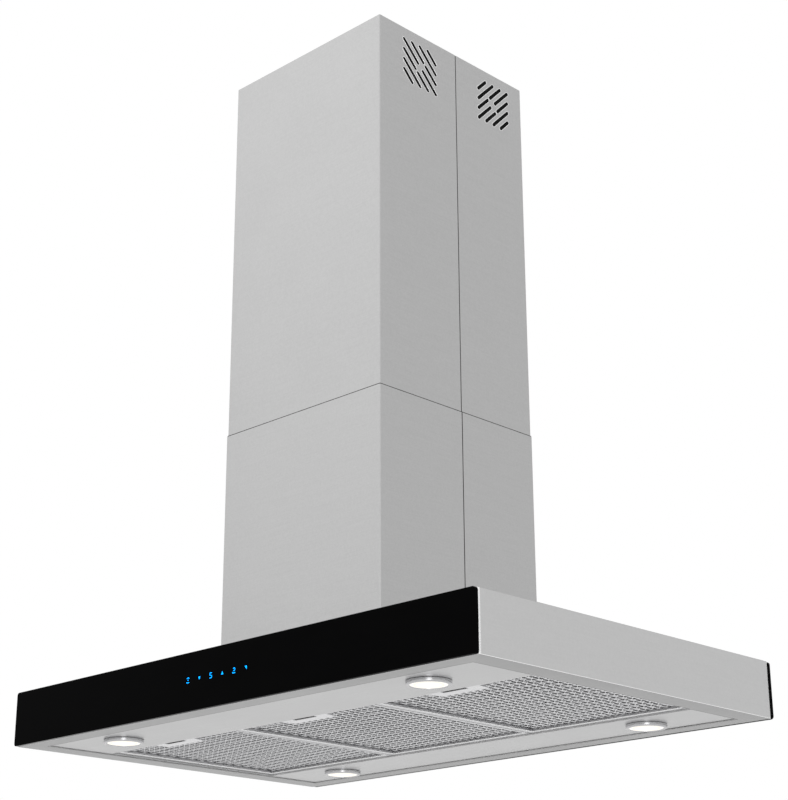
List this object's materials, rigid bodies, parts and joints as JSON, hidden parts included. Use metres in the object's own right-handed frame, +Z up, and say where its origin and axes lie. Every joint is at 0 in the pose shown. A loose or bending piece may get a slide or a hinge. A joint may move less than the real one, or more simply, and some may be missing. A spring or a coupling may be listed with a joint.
{
  "type": "island range hood",
  "caption": "Ceiling-hung island range hood: steel box canopy with black glass front and back, telescopic square chimney, grease filters, lamps, touch controls and blower.",
  "frame": {"origin": "centre of the ceiling plate's top face, where the hood meets the ceiling", "axes": "+Z up, +X along the hood's front to the right, -Y towards the face with the touch controls"},
  "size_m": [0.9, 0.6, 1.0262],
  "materials": {
    "frame_steel": "galvanised, satin",
    "zinc_bolt": "bright zinc",
    "chrome_ring": "polished",
    "lamp_lens": "warm white frosted lens",
    "cast_aluminium": "cast",
    "chimney_steel": "brushed",
    "canopy_steel": "brushed",
    "panel_steel": "brushed",
    "black_glass": "black toughened glass, polished edges",
    "filter_aluminium": "satin rolled channel",
    "filter_mesh": "expanded mesh",
    "latch_aluminium": "satin",
    "spring_steel": "bright steel",
    "grey_plastic": "moulded",
    "black_plastic": "moulded"
  },
  "bodies": {
    "ceiling_frame": {"ceiling_plate": "frame_steel", "upper_brace": "frame_steel", "upper_chimney_front": "chimney_steel", "upper_chimney_rear": "chimney_steel", "upper_post_front_left": "frame_steel", "upper_post_front_right": "frame_steel", "upper_post_rear_left": "frame_steel", "upper_post_rear_right": "frame_steel"},
    "filter_left": {"filter_frame_left": "filter_aluminium", "filter_mesh_left": "filter_mesh", "latch_spring_left": "spring_steel"},
    "latch_left": {"filter_latch_left": "latch_aluminium"},
    "filter_middle": {"filter_frame_middle": "filter_aluminium", "filter_mesh_middle": "filter_mesh", "latch_spring_middle": "spring_steel"},
    "latch_middle": {"filter_latch_middle": "latch_aluminium"},
    "filter_right": {"filter_frame_right": "filter_aluminium", "filter_mesh_right": "filter_mesh", "latch_spring_right": "spring_steel"},
    "latch_right": {"filter_latch_right": "latch_aluminium"},
    "fan": {"impeller": "black_plastic", "impeller_shaft": "spring_steel"},
    "flap_left": {"backdraft_flap_left": "black_plastic"},
    "flap_right": {"backdraft_flap_right": "black_plastic"},
    "hood": {"blower_box": "frame_steel", "blower_motor": "frame_steel", "blower_scroll": "grey_plastic", "bottom_panel": "panel_steel", "cable_gland": "black_plastic", "canopy_shell": "canopy_steel", "electronics_box": "grey_plastic", "flap_spindle": "spring_steel", "front_glass": "black_glass", "lamp_body_front_left": "cast_aluminium", "lamp_body_front_right": "cast_aluminium", "lamp_body_rear_left": "cast_aluminium", "lamp_body_rear_right": "cast_aluminium", "lamp_lens_front_left": "lamp_lens", "lamp_lens_front_right": "lamp_lens", "lamp_lens_rear_left": "lamp_lens", "lamp_lens_rear_right": "lamp_lens", "lamp_ring_front_left": "chrome_ring", "lamp_ring_front_right": "chrome_ring", "lamp_ring_rear_left": "chrome_ring", "lamp_ring_rear_right": "chrome_ring", "lower_brace": "frame_steel", "lower_chimney_front": "chimney_steel", "lower_chimney_rear": "chimney_steel", "lower_post_front_left": "frame_steel", "lower_post_front_right": "frame_steel", "lower_post_rear_left": "frame_steel", "lower_post_rear_right": "frame_steel", "motor_bracket": "frame_steel", "outlet_collar": "black_plastic", "post_bolt_front_left": "zinc_bolt", "post_bolt_front_right": "zinc_bolt", "post_bolt_rear_left": "zinc_bolt", "post_bolt_rear_right": "zinc_bolt", "rear_glass": "black_glass", "touch_module": "black_plastic"}
  },
  "joints": [
    {"name": "height_adjust", "type": "slide", "parent": "ceiling_frame", "child": "hood", "axis": [0, 0, 1], "range_m": [0, 0.3]},
    {"name": "filter_left_hinge", "type": "hinge", "parent": "hood", "child": "filter_left", "pos_m": [-0.2735, 0.166, -1.0185], "axis": [1, 0, 0], "range_deg": [0, 75]},
    {"name": "latch_left_slide", "type": "slide", "parent": "filter_left", "child": "latch_left", "axis": [0, 1, 0], "range_m": [0, 0.006], "stiffness_N_per_m": 400, "springref_m": -0.008, "deforming": ["latch_spring_left"]},
    {"name": "filter_middle_hinge", "type": "hinge", "parent": "hood", "child": "filter_middle", "pos_m": [0, 0.166, -1.0185], "axis": [1, 0, 0], "range_deg": [0, 75]},
    {"name": "latch_middle_slide", "type": "slide", "parent": "filter_middle", "child": "latch_middle", "axis": [0, 1, 0], "range_m": [0, 0.006], "stiffness_N_per_m": 400, "springref_m": -0.008, "deforming": ["latch_spring_middle"]},
    {"name": "filter_right_hinge", "type": "hinge", "parent": "hood", "child": "filter_right", "pos_m": [0.2735, 0.166, -1.0185], "axis": [1, 0, 0], "range_deg": [0, 75]},
    {"name": "latch_right_slide", "type": "slide", "parent": "filter_right", "child": "latch_right", "axis": [0, 1, 0], "range_m": [0, 0.006], "stiffness_N_per_m": 400, "springref_m": -0.008, "deforming": ["latch_spring_right"]},
    {"name": "fan_spin", "type": "hinge", "parent": "hood", "child": "fan", "pos_m": [0, -0.0523, -0.844], "axis": [1, 0, 0], "continuous": true},
    {"name": "flap_left_hinge", "type": "hinge", "parent": "hood", "child": "flap_left", "pos_m": [0, 0, -0.6984], "axis": [0, 1, 0], "range_deg": [0, 75]},
    {"name": "flap_right_hinge", "type": "hinge", "parent": "hood", "child": "flap_right", "pos_m": [0, 0, -0.6984], "axis": [0, -1, 0], "range_deg": [0, 75]}
  ]
}
